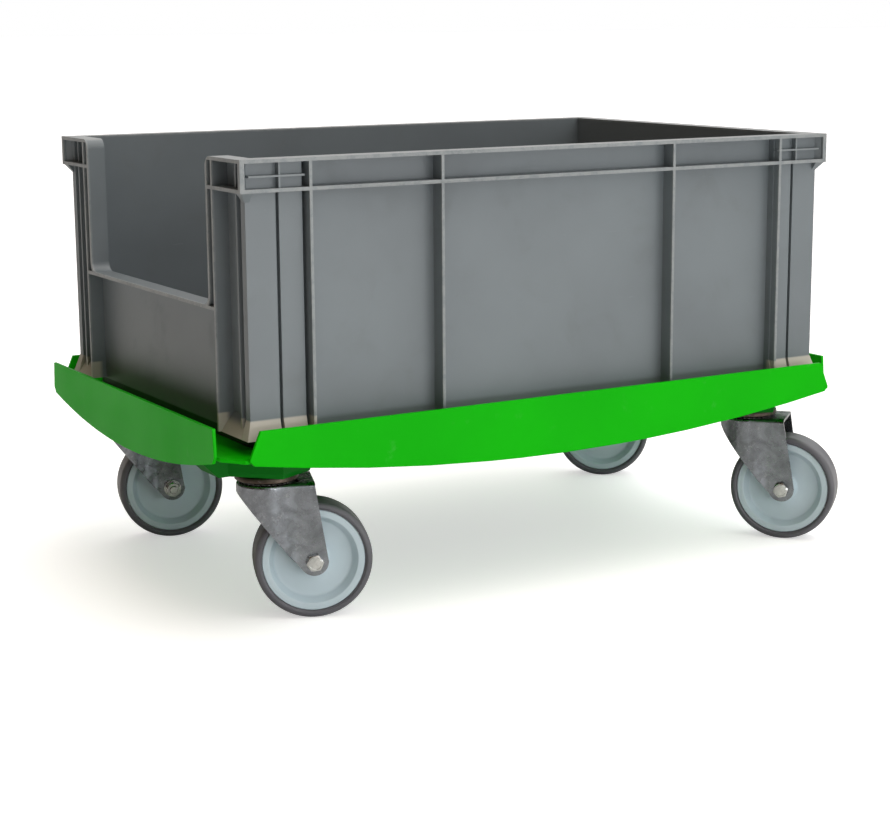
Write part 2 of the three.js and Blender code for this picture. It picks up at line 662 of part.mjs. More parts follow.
// One corner's post, foot and ribs; "alongX" and "alongY" are the signs of the corner.
function cornerPieces(alongX, alongY) {
  const edgeX = boxHalfX - POST_INSET;
  const edgeY = boxHalfY - POST_INSET;
  const postIn = boxHalfX - POST_LENGTH;
  const ribIn = boxHalfY - SHORT_RIB;
  const wallX = wallFaceX - OVER;
  const wallY = wallFaceY - OVER;
  const under = rimBottom + LEDGE / 2;
  const ribTop = BOX_TOP - LEDGE / 2;
  const flared = (rectangle) => [
    rectangle[0], rectangle[1] + FOOT_FLARE, rectangle[2], rectangle[3] + FOOT_FLARE,
  ];
  const longFace = [postIn, edgeX, wallY, edgeY];
  const shortEdge = [wallX, edgeX, edgeY - POST_LIP, edgeY];
  const footShort = [wallX, edgeX, ribIn, edgeY];
  const pieces = [
    taperedBox(longFace, longFace, FOOT_TOP, ribTop),
    taperedBox(shortEdge, shortEdge, FOOT_TOP, under),
    taperedBox(flared(longFace), longFace, FOOT_BOTTOM, FOOT_TOP),
    taperedBox(flared(footShort), shrunkToWall(footShort, wallFaceX), FOOT_BOTTOM, FOOT_TOP),
    box(wallX, edgeX, wallY, edgeY, FOOT_BOTTOM, FOOT_BOTTOM + LEDGE),
  ];
  for (const [at, out] of [[SHORT_RIB, boxHalfX], [THIN_RIB, edgeX]]) {
    const middle = boxHalfY - at;
    pieces.push(box(wallX, out, middle - RIB / 2, middle + RIB / 2, FOOT_BOTTOM, ribTop));
  }
  const columnX = boxHalfX - RIM_COLUMN;
  const columnY = boxHalfY - RIM_COLUMN;
  const postCorner = [edgeX - RIM_COLUMN, edgeX, edgeY - RIM_COLUMN, edgeY];
  const rimCorner = [edgeX - RIM_COLUMN, boxHalfX, edgeY - RIM_COLUMN, boxHalfY];
  pieces.push(
    box(columnX, boxHalfX, columnY, boxHalfY, under, ribTop),
    taperedBox(postCorner, rimCorner, under - RIM_GUSSET, under),
  );
  const cross = BOX_TOP - CROSS_RIB_HEIGHT;
  const outer = [postIn, boxHalfX - CROSS_RIB_START, wallY, boxHalfY - CROSS_RIB];
  pieces.push(box(outer[0], outer[1], outer[2], outer[3], cross - CROSS_RIB, cross));
  const grooveX = boxHalfX - POST_GROOVE_AT;
  const lowX = grooveX - CROSS_RIB / 2;
  pieces.push(box(lowX, lowX + CROSS_RIB, wallY, boxHalfY - CROSS_RIB, under, BOX_TOP - OVER));
  return pieces.map((piece) => reflected(piece, alongX, alongY));
}

// A foot's upper rectangle on the short side, drawn back to the wall so that the foot slopes.
function shrunkToWall(rectangle, wall) {
  return [rectangle[0], Math.max(wall, rectangle[0] + OVER), rectangle[2], rectangle[3]];
}

// A piece moved to another corner, with its faces still pointing out.
function reflected(geometry, alongX, alongY) {
  const turned = geometry.clone().scale(alongX, alongY, 1);
  if (alongX * alongY > 0) return turned;
  const index = turned.index.array;
  for (let i = 0; i < index.length; i += 3) {
    [index[i + 1], index[i + 2]] = [index[i + 2], index[i + 1]];
  }
  return turned;
}

function container() {
  const add = [
    centredBox(WALL_INSET, stepTop, BOX_TOP - LEDGE / 2),
    nestingBase(),
    centredBox(0, BOX_TOP - LEDGE, BOX_TOP),
    centredBox(0, rimBottom, rimBottom + LEDGE),
  ];
  for (const alongY of [-1, 1]) {
    for (const at of LONG_RIBS) {
      const y0 = alongY > 0 ? wallFaceY - OVER : -boxHalfY;
      const y1 = alongY > 0 ? boxHalfY : -wallFaceY + OVER;
      add.push(box(at - RIB / 2, at + RIB / 2, y0, y1, stepTop + OVER, BOX_TOP - OVER));
    }
    for (const alongX of [-1, 1]) add.push(...cornerPieces(alongX, alongY));
  }
  const shelfHalf = boxHalfY - SHORT_RIB;
  add.push(
    slabAlongX(openingShape(WALL), -boxHalfX, -wallFaceX + OVER),
    box(-boxHalfX, -wallFaceX + OVER, -shelfHalf, shelfHalf, OPENING_SILL - WALL, OPENING_SILL),
  );
  const remove = [
    centredBox(WALL_INSET + WALL, stepTop + LEDGE, BOX_TOP + 2 * OVER),
    centredBox(STEP_INSET + WALL, boxBase + BOX_FLOOR, stepTop + 2 * LEDGE),
    slabAlongX(openingShape(0), -boxHalfX - OVER, -wallFaceX + WALL + OVER),
    centredBox(-OVER, BOX_TOP, BOX_TOP + 3 * OVER),
  ];
  for (const alongX of [-1, 1]) {
    for (const alongY of [-1, 1]) {
      const x = alongX * (boxHalfX - POST_GROOVE_AT);
      const face = boxHalfY - POST_INSET;
      const cut = box(
        x - POST_GROOVE / 2, x + POST_GROOVE / 2,
        face - POST_GROOVE_DEPTH, face + FOOT_FLARE + OVER,
        FOOT_BOTTOM - OVER, rimBottom,
      );
      remove.push(reflected(cut, 1, alongY));
    }
  }
  return build(add, remove);
}

// ---- Assembly -----------------------------------------------------------------------------------

const trolley = new THREE.Group();
trolley.position.set(MIDDLE_X, MIDDLE_Y, 0);
trolley.add(...frameMeshes());
for (const place of Object.keys(HEADINGS)) {
  const alongX = place.startsWith("front") ? -1 : 1;
  const alongY = place.endsWith("left") ? 1 : -1;
  trolley.add(castor(place, alongX, alongY));
}
const loose = mesh("container", container(), containerPlastic);
loose.position.x = BOX_SHIFT_X;
trolley.add(loose);

export default trolley;
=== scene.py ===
# Looks of the platform trolley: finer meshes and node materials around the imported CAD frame.
# Metres, +Z up, X along the length; the container's pick opening faces -X.
import json
import math

import bmesh
import bpy
from mathutils import Matrix, Vector


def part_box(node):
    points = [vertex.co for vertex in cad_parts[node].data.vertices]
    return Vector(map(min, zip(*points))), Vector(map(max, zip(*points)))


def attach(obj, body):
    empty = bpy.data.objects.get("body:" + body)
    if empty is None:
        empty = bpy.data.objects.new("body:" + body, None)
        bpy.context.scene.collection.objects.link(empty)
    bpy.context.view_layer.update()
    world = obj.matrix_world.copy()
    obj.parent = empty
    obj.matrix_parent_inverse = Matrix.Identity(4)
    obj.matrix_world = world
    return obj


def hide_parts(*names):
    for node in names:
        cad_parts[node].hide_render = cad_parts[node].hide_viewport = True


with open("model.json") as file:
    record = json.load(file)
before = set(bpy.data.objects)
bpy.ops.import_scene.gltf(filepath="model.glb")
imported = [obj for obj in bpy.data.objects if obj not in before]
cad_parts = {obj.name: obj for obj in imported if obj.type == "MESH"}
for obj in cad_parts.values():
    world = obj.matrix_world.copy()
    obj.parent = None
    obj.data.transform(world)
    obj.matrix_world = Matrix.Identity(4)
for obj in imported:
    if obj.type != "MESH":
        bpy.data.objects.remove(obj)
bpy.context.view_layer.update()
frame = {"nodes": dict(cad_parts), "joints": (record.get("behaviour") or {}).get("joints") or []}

MM = 0.001
PLACES = ("front_left", "front_right", "back_left", "back_right")
JOINTS = {joint["name"]: joint for joint in frame["joints"]}

box_low, box_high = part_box("container")
MIDDLE = Vector(((box_low.x + box_high.x) / 2, (box_low.y + box_high.y) / 2, 0))
deck_low, deck_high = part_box("deck_frame")
DOLLY_MIDDLE = Vector(((deck_low.x + deck_high.x) / 2, (deck_low.y + deck_high.y) / 2, 0))


# ---- Meshes ----------------------------------------------------------------------------------


def new_object(name, verts, faces, material, angle=35):
    """A mesh object with smooth shading across edges that turn less than the angle."""
    mesh = bpy.data.meshes.new(name)
    mesh.from_pydata([tuple(v) for v in verts], [], faces)
    made = bpy.data.objects.new(name, mesh)
    bpy.context.scene.collection.objects.link(made)
    shade(made, angle)
    mesh.materials.append(material)
    return made


def shade(made, angle):
    """Turns the faces outwards and keeps the edges sharp that turn more than the angle."""
    mesh = made.data
    bm = bmesh.new()
    bm.from_mesh(mesh)
    bmesh.ops.remove_doubles(bm, verts=bm.verts, dist=1e-7)
    bmesh.ops.recalc_face_normals(bm, faces=bm.faces)
    bm.to_mesh(mesh)
    bm.free()
    mesh.shade_smooth()
    mesh.set_sharp_from_angle(angle=math.radians(angle))


def place(made, matrix, body, slot, *nodes):
    """Puts a piece in place under its body and hides the CAD nodes it stands for; the slot is not
    used.
    """
    made.matrix_world = matrix
    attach(made, body)
    if nodes:
        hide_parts(*nodes)
    return made


def rounded(made, width, segments=2, angle=35):
    """A small round-over on every edge that turns more than the angle."""
    bevel = made.modifiers.new("round edges", "BEVEL")
    bevel.width = width
    bevel.segments = segments
    bevel.limit_method = "ANGLE"
    bevel.angle_limit = math.radians(angle)
    bevel.use_clamp_overlap = True
    bevel.harden_normals = True
    return made


def grid_faces(rows, columns, closed_rows=False, closed_columns=False):
    """Quads over a grid of points that are numbered row by row."""
    faces = []
    for r in range(rows if closed_rows else rows - 1):
        for c in range(columns if closed_columns else columns - 1):
            a = r * columns + c
            b = r * columns + (c + 1) % columns
            next_row = ((r + 1) % rows) * columns
            faces.append((a, b, next_row + (c + 1) % columns, next_row + c))
    return faces


def turned(profile, segments=64):
    """A closed profile of (radius, height) turned about Z, as (verts, faces)."""
    verts = []
    for radius, height in profile:
        for i in range(segments):
            turn = 2 * math.pi * i / segments
            verts.append((radius * math.cos(turn), radius * math.sin(turn), height))
    return verts, grid_faces(len(profile), segments, closed_rows=True, closed_columns=True)


def lathe(name, profile, segments, material, angle=35):
    """A turned profile as an object."""
    verts, faces = turned(profile, segments)
    return new_object(name, verts, faces, material, angle)


def arc(centre, radius, start, end, steps):
    """Points of an arc, with the angles in degrees."""
    points = []
    for i in range(steps + 1):
        turn = math.radians(start + (end - start) * i / steps)
        x = centre[0] + radius * math.cos(turn)
        y = centre[1] + radius * math.sin(turn)
        points.append((x, y))
    return points


def filleted(points, radii, steps):
    """An open polyline with its corners rounded, each by its own radius; the ends stay."""
    made = [tuple(points[0])]
    for i in range(1, len(points) - 1):
        here = Vector(points[i])
        back = (Vector(points[i - 1]) - here).normalized()
        ahead = (Vector(points[i + 1]) - here).normalized()
        half = back.angle(ahead) / 2
        reach = radii[i - 1] / math.tan(half)
        centre = here + (back + ahead).normalized() * (radii[i - 1] / math.sin(half))
        first = here + back * reach - centre
        last = here + ahead * reach - centre
        sweep = first.angle_signed(last)
        for k in range(steps + 1):
            turn = -sweep * k / steps
            c, s = math.cos(turn), math.sin(turn)
            x = centre.x + first.x * c - first.y * s
            y = centre.y + first.x * s + first.y * c
            made.append((x, y))
    made.append(tuple(points[-1]))
    return made


def joined(name, pieces, material, angle=35):
    """Several closed shells, each (verts, faces), in one object."""
    verts, faces = [], []
    for part_verts, part_faces in pieces:
        start = len(verts)
        verts += [tuple(v) for v in part_verts]
        faces += [tuple(start + i for i in face) for face in part_faces]
    return new_object(name, verts, faces, material, angle)


# ---- Materials -------------------------------------------------------------------------------


class Tree:
    """A node tree: each method adds nodes and returns an output to go on with."""

    def __init__(self, tree):
        self.tree = tree

    def node(self, kind, settings=None, **inputs):
        made = self.tree.nodes.new(kind)
        for key, value in (settings or {}).items():
            setattr(made, key, value)
        for key, value in inputs.items():
            self.set(made.inputs[key.replace("_", " ")], value)
        return made

    def set(self, socket, value):
        if isinstance(value, bpy.types.NodeSocket):
            self.tree.links.new(value, socket)
        else:
            socket.default_value = value

    def levels(self, value, low, high, to_low=0.0, to_high=1.0):
        made = self.node(
            "ShaderNodeMapRange", Value=value,
            From_Min=low, From_Max=high, To_Min=to_low, To_Max=to_high,
        )
        made.interpolation_type = "SMOOTHSTEP"
        return made.outputs["Result"]

    def math(self, operation, a, b=0.0):
        made = self.node("ShaderNodeMath", {"operation": operation})
        self.set(made.inputs[0], a)
        self.set(made.inputs[1], b)
        return made.outputs[0]

    def split(self, vector):
        return self.node("ShaderNodeSeparateXYZ", Vector=vector).outputs

    def mix(self, share, a, b):
        made = self.node("ShaderNodeMix", {"data_type": "RGBA"})
        self.set(made.inputs["Factor"], share)
        self.set(made.inputs[6], a)
        self.set(made.inputs[7], b)
        return made.outputs[2]


class Look(Tree):
    """A material on a Principled BSDF, placed by the object's own coordinates."""

    def __init__(self, name):
        self.material = bpy.data.materials.new(name)
        self.material.use_nodes = True
        super().__init__(self.material.node_tree)
        self.shader = self.tree.nodes["Principled BSDF"]
        self.place = self.node("ShaderNodeTexCoord").outputs["Object"]

    def noise(self, scale, detail=3, roughness=0.5, stretch=(1, 1, 1), distortion=0.0):
        where = self.node("ShaderNodeMapping", Vector=self.place, Scale=stretch)
        made = self.node(
            "ShaderNodeTexNoise", Vector=where.outputs[0], Scale=scale, Detail=detail,
            Roughness=roughness, Distortion=distortion,
        )
        return made.outputs["Fac"]

    def bump(self, height, distance, strength=1.0, normal=None):
        made = self.node("ShaderNodeBump", Height=height, Distance=distance, Strength=strength)
        if normal is not None:
            self.set(made.inputs["Normal"], normal)
        return made.outputs["Normal"]

    def finish(self, **inputs):
        for key, value in inputs.items():
            self.set(self.shader.inputs[key.replace("_", " ")], value)
        return self.material


def linear(value):
    """A linear value from a display value, 0 to 255, by the sRGB curve."""
    value /= 255
    return value / 12.92 if value <= 0.04045 else ((value + 0.055) / 1.055) ** 2.4


def rgb(red, green, blue):
    """A colour from its display values, 0 to 255."""
    return (linear(red), linear(green), linear(blue), 1.0)


# Where each mark starts and where it is full, as distances from an axis or a middle plane, or
# heights: the tread's wear, the rim's rub wear with painted highlight, the feet's painted highlight
# and the step's painted shadow.
TREAD_BAND = (47.5 * MM, 49.5 * MM)
# The rim's pale edges: partly rub wear, partly painted highlight.
RUB_AND_HIGHLIGHT_X = (297.5 * MM, 299.8 * MM)
RUB_AND_HIGHLIGHT_Y = (197.5 * MM, 199.8 * MM)
# The corner posts' feet: painted highlight.
FOOT_HIGHLIGHT_X = (288 * MM, 293.5 * MM)
FOOT_HIGHLIGHT_Y = (188 * MM, 193.5 * MM)
POST_HIGHLIGHT_X = (232 * MM, 236 * MM)
POST_HIGHLIGHT_Y = (138 * MM, 142 * MM)
FOOT_HIGHLIGHT_START = (160.5 * MM, 162.5 * MM)
FOOT_HIGHLIGHT_FADE = (176.5 * MM, 178.5 * MM)
# The nesting step at the bottom: painted shadow.
STEP_PAINTED_SHADOW = (160.5 * MM, 162.2 * MM)


def green_paint(name, colour, shade_colour, gloss=0.3):
    look = Look(name)
    clouds = look.levels(look.noise(9, 4), 0.35, 0.7)
    peel = look.noise(420, 2, 0.5)
    dust = look.levels(look.noise(60, 5, 0.65), 0.62, 0.8)
    tone = look.mix(look.math("MULTIPLY", clouds, 0.5), colour, shade_colour)
    tone = look.mix(look.math("MULTIPLY", dust, 0.05), tone, rgb(190, 200, 185))
    rough = look.math("ADD", look.math("MULTIPLY", clouds, 0.12), gloss)
    normal = look.bump(peel, 0.04 * MM, 0.35)
    return look.finish(Base_Color=tone, Roughness=rough, Normal=normal, Specular_IOR_Level=0.06)


def zinc_plate(name, colour, rough_low, rough_high):
    look = Look(name)
    blotches = look.levels(look.noise(55, 5, 0.6, distortion=0.6), 0.3, 0.72)
    grain = look.noise(700, 3, 0.6, stretch=(1, 1, 0.12))
    spots = look.levels(look.noise(260, 4, 0.7), 0.55, 0.75)
    dark = tuple(c * 0.45 for c in colour[:3]) + (1.0,)
    tone = look.mix(look.math("MULTIPLY", blotches, 0.75), colour, dark)
    tone = look.mix(look.math("MULTIPLY", spots, 0.2), tone, rgb(225, 226, 224))
    rough = look.levels(look.noise(140, 4), 0.25, 0.75, rough_low, rough_high)
    normal = look.bump(grain, 0.05 * MM, 0.3, look.bump(blotches, 0.4 * MM, 0.35))
    return look.finish(Base_Color=tone, Metallic=1.0, Roughness=rough, Normal=normal)


def tyre_rubber():
    look = Look("tyre_rubber")
    x, y, _ = look.split(look.place)
    fine = look.noise(900, 3, 0.6)
    smudge = look.levels(look.noise(38, 4), 0.4, 0.75)
    squares = look.math("ADD", look.math("POWER", x, 2), look.math("POWER", y, 2))
    radius = look.math("SQRT", squares)
    tread = look.levels(radius, *TREAD_BAND)
    tone = look.mix(look.math("MULTIPLY", smudge, 0.45), rgb(90, 90, 96), rgb(72, 72, 77))
    tone = look.mix(look.math("MULTIPLY", tread, 0.3), tone, rgb(104, 103, 104))
    rough = look.levels(smudge, 0, 1, 0.42, 0.6)
    return look.finish(Base_Color=tone, Roughness=rough, Normal=look.bump(fine, 0.06 * MM, 0.4))


def hub_plastic():
    look = Look("hub_plastic")
    clouds = look.levels(look.noise(45, 3), 0.35, 0.7)
    fine = look.noise(1200, 2, 0.5)
    marks = look.levels(look.noise(240, 4, 0.7, stretch=(1, 0.2, 1)), 0.66, 0.78)
    tone = look.mix(look.math("MULTIPLY", clouds, 0.35), rgb(192, 209, 217), rgb(180, 198, 207))
    tone = look.mix(look.math("MULTIPLY", marks, 0.12), tone, rgb(130, 140, 146))
    rough = look.levels(clouds, 0, 1, 0.36, 0.48)
    return look.finish(Base_Color=tone, Roughness=rough, Normal=look.bump(fine, 0.03 * MM, 0.25))


def rubbed_and_highlit_edges(look, out_x, out_y, z):
    """The rim's outer and upper edges, made pale: partly rub wear, partly a painted highlight where
    the top light falls.
    """
    rub_and_highlight_x = look.levels(out_x, *RUB_AND_HIGHLIGHT_X)
    rub_and_highlight_y = look.levels(out_y, *RUB_AND_HIGHLIGHT_Y)
    top = look.levels(z, box_high.z - 2.2 * MM, box_high.z - 0.4 * MM)
    rub_and_highlight = look.math("MAXIMUM", look.math("MAXIMUM", rub_and_highlight_x, rub_and_highlight_y), top)
    patches = look.levels(look.noise(120, 5, 0.7), 0.3, 0.6, 0.35, 1.0)
    return look.math("MULTIPLY", rub_and_highlight, patches)


def painted_foot_highlight(look, out_x, out_y, z, smudge):
    """The lower ends of the corner posts, where the foot bevels face up: a painted highlight of the
    warm top light.
    """
    foot = look.math("MULTIPLY", look.levels(z, *FOOT_HIGHLIGHT_FADE, 1, 0), look.levels(z, *FOOT_HIGHLIGHT_START))
    outer = look.math("MAXIMUM", look.levels(out_x, *FOOT_HIGHLIGHT_X), look.levels(out_y, *FOOT_HIGHLIGHT_Y))
    corner = look.math("MULTIPLY", look.levels(out_x, *POST_HIGHLIGHT_X), look.levels(out_y, *POST_HIGHLIGHT_Y))
    feet = look.math("MULTIPLY", look.math("MULTIPLY", foot, outer), corner)
    return look.math("MULTIPLY", feet, look.levels(smudge, 0, 1, 0.75, 0.5))


def container_plastic():
    look = Look("container_plastic")
    x, y, z = look.split(look.place)
    clouds = look.levels(look.noise(5, 4, 0.55), 0.3, 0.72)
    smudge = look.levels(look.noise(26, 5, 0.6, distortion=0.4), 0.5, 0.78)
    scratches = look.levels(look.noise(70, 6, 0.75, stretch=(0.25, 0.25, 2.2)), 0.66, 0.74)
    fine = look.noise(900, 3, 0.6)
    soft = look.noise(16, 2, 0.5)
    out_x = look.math("ABSOLUTE", look.math("SUBTRACT", x, MIDDLE.x))
    out_y = look.math("ABSOLUTE", look.math("SUBTRACT", y, MIDDLE.y))
    rub_and_highlight = rubbed_and_highlit_edges(look, out_x, out_y, z)
    foot_highlight = painted_foot_highlight(look, out_x, out_y, z, smudge)
    tone = look.mix(clouds, rgb(114, 122, 126), rgb(104, 111, 115))
    tone = look.mix(look.math("MULTIPLY", smudge, 0.22), tone, rgb(100, 104, 104))
    # Pale rim edges and top: partly rub wear, partly painted highlight.
    tone = look.mix(look.math("MULTIPLY", rub_and_highlight, 0.4), tone, rgb(172, 174, 172))
    tone = look.mix(look.math("MULTIPLY", scratches, 0.12), tone, rgb(180, 184, 184))
    # Painted highlight: the posts' feet made warm beige, as if lit from above.
    tone = look.mix(foot_highlight, tone, rgb(196, 188, 174))
    # Painted shadow: the nesting step under the feet made nearly black, as if in shade.
    tone = look.mix(look.levels(z, *STEP_PAINTED_SHADOW, 0.9, 0), tone, rgb(16, 17, 22))
    rough = look.math("ADD", look.math("MULTIPLY", smudge, 0.12), 0.4)
    normal = look.bump(fine, 0.05 * MM, 0.3, look.bump(soft, 0.6 * MM, 0.35))
    return look.finish(Base_Color=tone, Roughness=rough, Normal=normal, Specular_IOR_Level=0.45)


def nylon():
    look = Look("nylon")
    clouds = look.noise(80, 3)
    tone = look.mix(clouds, rgb(216, 214, 204), rgb(190, 186, 172))
    normal = look.bump(look.noise(900), 0.03 * MM, 0.3)
    return look.finish(Base_Color=tone, Roughness=0.45, Normal=normal)


PAINT = green_paint("green_paint", rgb(14, 182, 4), rgb(10, 166, 3))
# A darker copy of the green paint for the corner brackets under the deck: painted shade.
SHADED_GREEN_PAINT = green_paint("dark_green_paint", rgb(8, 104, 22), rgb(4, 76, 16), 0.36)
ZINC = zinc_plate("zinc_plate", rgb(138, 142, 147), 0.18, 0.4)
DARK_ZINC = zinc_plate("zinc_plate_dark", rgb(88, 78, 70), 0.3, 0.5)
BRIGHT_ZINC = zinc_plate("bright_zinc", rgb(214, 215, 212), 0.16, 0.3)
TYRE = tyre_rubber()
HUB = hub_plastic()
PLASTIC = container_plastic()
NYLON = nylon()


# ---- Castors, each in its own frame: swivel axis at the origin, +X along the heading ---------

TRAIL = (
    Vector(JOINTS["wheel_spin_front_left"]["pos_m"]).xy
    - Vector(JOINTS["castor_swivel_front_left"]["pos_m"]).xy
).length
GAP = 0.3 * MM  # between pieces that touch
ROUND = 96  # facets round a wheel

# Fork
FORK_TOP = 118.5 * MM
FORK_SHEET = 2.5 * MM
CROWN_RADIUS = 25.8 * MM
CROWN_EDGE = 3.5 * MM  # radius of the crown's rounded edge
CROWN_LEG_HALF = 24.5 * MM  # from the middle to a leg's outer face, at the crown
LEG_OUTER = (34.6 / 2 + 2.5) * MM  # and at the axle
LEAN_START = 62 * MM  # height above which the legs lean outwards
LEAN_FROM_X = 9 * MM  # where along the heading they start to lean
LEAN_TO_X = 24 * MM
LEG_FROM_X = 13 * MM  # where the skirt's curve meets the straight leg
LEG_BEND = 8 * MM
LEG_FLAT_X = 25 * MM  # in front of it the legs end on the straight slope
SKIRT_END = 74  # degrees, where the skirt's arc ends
SKIRT = 8 * MM  # height of the skirt at its front
SPINE_FRONT = -14 * MM  # the front end of the crown's middle line of points
FORK_TIP = 12 * MM
FORK_BACK = 38 * MM

# Tyre and hub
WHEEL_RADIUS = 50 * MM
AXLE_HEIGHT = WHEEL_RADIUS
TYRE_HALF = 15.5 * MM
TYRE_SHOULDER = 4 * MM
TREAD_CROWN = 0.1 * MM  # how much smaller the tread is at its edges
TREAD_FLAT = 5 * MM
TREAD_EDGE = 9 * MM
TYRE_STEP = ((45.3, 0), (44.9, 0.25), (44.6, 0.9), (44.2, 1.1), (43.7, 1.2))  # radius, drop
HUB_RADIUS = 43.4 * MM
HUB_CHAMFER = 0.5 * MM
RING_HALF = 13.8 * MM
RING_INNER = 38.3 * MM
RING_ROUND = 1.2 * MM
RECESS_FOOT = (35.6 * MM, 9.9 * MM)
WEB_CORNER = (31.6 * MM, 8.6 * MM)
WEB_ROUND = 2.6 * MM
WEB_FACE = [(22 * MM, 5.85 * MM), (15.2 * MM, 5.8 * MM)]
BOSS_FOOT = (14.6 * MM, 8 * MM)
BOSS_FOOT_ROUND = 2.2 * MM
BOSS_RADIUS = 11.8 * MM
BOSS_EDGE = (10.8 * MM, 15.6 * MM)
BOSS_ROUND = 0.9 * MM
BOSS_BORE = 6.35 * MM
BOSS_HALF = 16.5 * MM

# Nuts, bolt heads and threads
HEX_FACE = 0.94  # radius of the flat face, as a share of half the width
HEX_SLOPE = math.radians(30)
HEX_EDGE = 0.2 * MM
THREAD_DEPTH = 0.35 * MM
THREAD_CHAMFER = 0.6 * MM

# Axle
AXLE_RADIUS = 4 * MM
AXLE_BORE = 4.3 * MM
AXLE_HEX = 13 * MM  # across the flats
AXLE_HEAD = 5.3 * MM
AXLE_NUT = 6.5 * MM
AXLE_NUT_BORE = 4.05 * MM
AXLE_PROUD = 1.8 * MM
AXLE_PITCH = 1.25 * MM
AXLE_THREAD_START = 16.9 * MM
DISH_RADIUS = 4.9 * MM  # the ring that is raised on the bolt's head
DISH_RIM = 5.5 * MM
DISH_DEPTH = 0.6 * MM
SHANK_OVERLAP = 0.1 * MM
WASHER_RADIUS = 8.2 * MM
WASHER_EDGE = 0.25 * MM
WASHER_THICKNESS = 1.5 * MM
SLEEVE_RADIUS = 6 * MM
SLEEVE_HALF = 17 * MM
SLEEVE_CHAMFER = 0.3 * MM
NUT_ON_RIGHT = ("front_left",)  # of the heading; on the other castors it is on the left
BOLT_TWIST = {"front_left": 8, "front_right": 24, "back_left": 3, "back_right": 14}  # degrees

# Swivel head
RACE_RADIUS = 27 * MM
RACE_BOTTOM = 122.3 * MM
RACE_TOP = 124.7 * MM
RACE_LIP = 2.2 * MM  # thickness of its lip, and how far the lip reaches down
KING_BORE = 6.3 * MM
BALL_RADIUS = 1.6 * MM
BALL_CIRCLE = 21 * MM
BALL_COUNT = 28
CAGE_INNER = 19.6 * MM
CAGE_OUTER = 22.4 * MM
CAGE_HALF = 0.6 * MM
KING_RADIUS = 6 * MM
KING_HEX = 17 * MM
KING_HEAD_TOP = 115.65 * MM
KING_HEAD = 5.5 * MM
KING_OVERLAP = 1 * MM
KING_SHANK_TOP = 127 * MM
KING_THREAD_START = 126.5 * MM
KING_END = 139.3 * MM
KING_PITCH = 1.75 * MM
KING_NUT_HEX = 18 * MM
KING_NUT_BASE = 128.3 * MM
KING_NUT = 9 * MM
KING_NUT_BORE = 6.05 * MM


def castor_matrix(name):
    swivel = Vector(JOINTS["castor_swivel_" + name]["pos_m"])
    wheel = Vector(JOINTS["wheel_spin_" + name]["pos_m"])
    heading = math.atan2(wheel.y - swivel.y, wheel.x - swivel.x)
    return Matrix.Translation((swivel.x, swivel.y, 0)) @ Matrix.Rotation(heading, 4, "Z")


def wheel_matrix(name):
    """The wheel's own frame: Z along the axle, towards the left of the heading."""
    along = Matrix.Translation((TRAIL, 0, AXLE_HEIGHT)) @ Matrix.Rotation(-math.pi / 2, 4, "X")
    return castor_matrix(name) @ along


def mirrored(upper):
    """A whole profile from its half above the middle plane, listed from the outside in."""
    return [(r, -h) for r, h in reversed(upper)] + list(upper)


def tyre(name):
    """A nearly flat tread, round shoulders, and a small step down to the hub's ring."""
    shoulder = (WHEEL_RADIUS - TREAD_CROWN - TYRE_SHOULDER, TYRE_HALF - TYRE_SHOULDER)
    upper = [(WHEEL_RADIUS, TREAD_FLAT), (WHEEL_RADIUS - TREAD_CROWN, TREAD_EDGE)]
    upper += arc(shoulder, TYRE_SHOULDER, 14, 80, 8)
    upper.append((shoulder[0], TYRE_HALF))
    upper += [(radius * MM, TYRE_HALF - drop * MM) for radius, drop in TYRE_STEP]
    made = lathe("tyre_body_" + name, mirrored(upper), ROUND, TYRE, 50)
    return place(made, wheel_matrix(name), "wheel_" + name, "tyre_rubber", "tyre_" + name)


def hub(name):
    """A flat outer ring, a recess down to the web, and the boss on the sleeve."""
    upper = [
        (HUB_RADIUS, RING_HALF - HUB_CHAMFER),
        (HUB_RADIUS - HUB_CHAMFER, RING_HALF),
        (RING_INNER, RING_HALF),
    ]
    upper += arc((RING_INNER, RING_HALF - RING_ROUND), RING_ROUND, 90, 165, 4)
    upper.append(RECESS_FOOT)
    upper += arc(WEB_CORNER, WEB_ROUND, -10, -90, 6)
    upper += WEB_FACE
    upper += arc(BOSS_FOOT, BOSS_FOOT_ROUND, -90, -170, 5)
    upper.append((BOSS_RADIUS, BOSS_EDGE[1]))
    upper += arc(BOSS_EDGE, BOSS_ROUND, 10, 90, 3)
    upper.append((BOSS_BORE, BOSS_HALF))
    made = lathe("wheel_hub_body_" + name, mirrored(upper), ROUND, HUB, 40)
    return place(made, wheel_matrix(name), "wheel_" + name, "hub_plastic", "wheel_hub_" + name)


def half_plan(steps):
    """The crown's plan on its left: front middle, round the skirt, then straight back."""
    skirt = arc((0, 0), CROWN_RADIUS, 180, SKIRT_END, steps)
    corner = [skirt[-1], (LEG_FROM_X, CROWN_LEG_HALF), (FORK_BACK, CROWN_LEG_HALF)]
    return skirt[:-1] + filleted(corner, [LEG_BEND], 5)


def resampled(points, count):
    """The same polyline with its points an even distance apart."""
    lengths = [0.0]
    for a, b in zip(points, points[1:]):
        lengths.append(lengths[-1] + (Vector(b) - Vector(a)).length)
    made = []
    at = 0
    for i in range(count):
        wanted = lengths[-1] * i / (count - 1)
        while at < len(lengths) - 2 and lengths[at + 1] < wanted:
            at += 1
        share = (wanted - lengths[at]) / max(lengths[at + 1] - lengths[at], 1e-9)
        share = min(max(share, 0.0), 1.0)
        made.append(tuple(Vector(points[at]).lerp(Vector(points[at + 1]), share)))
    return made


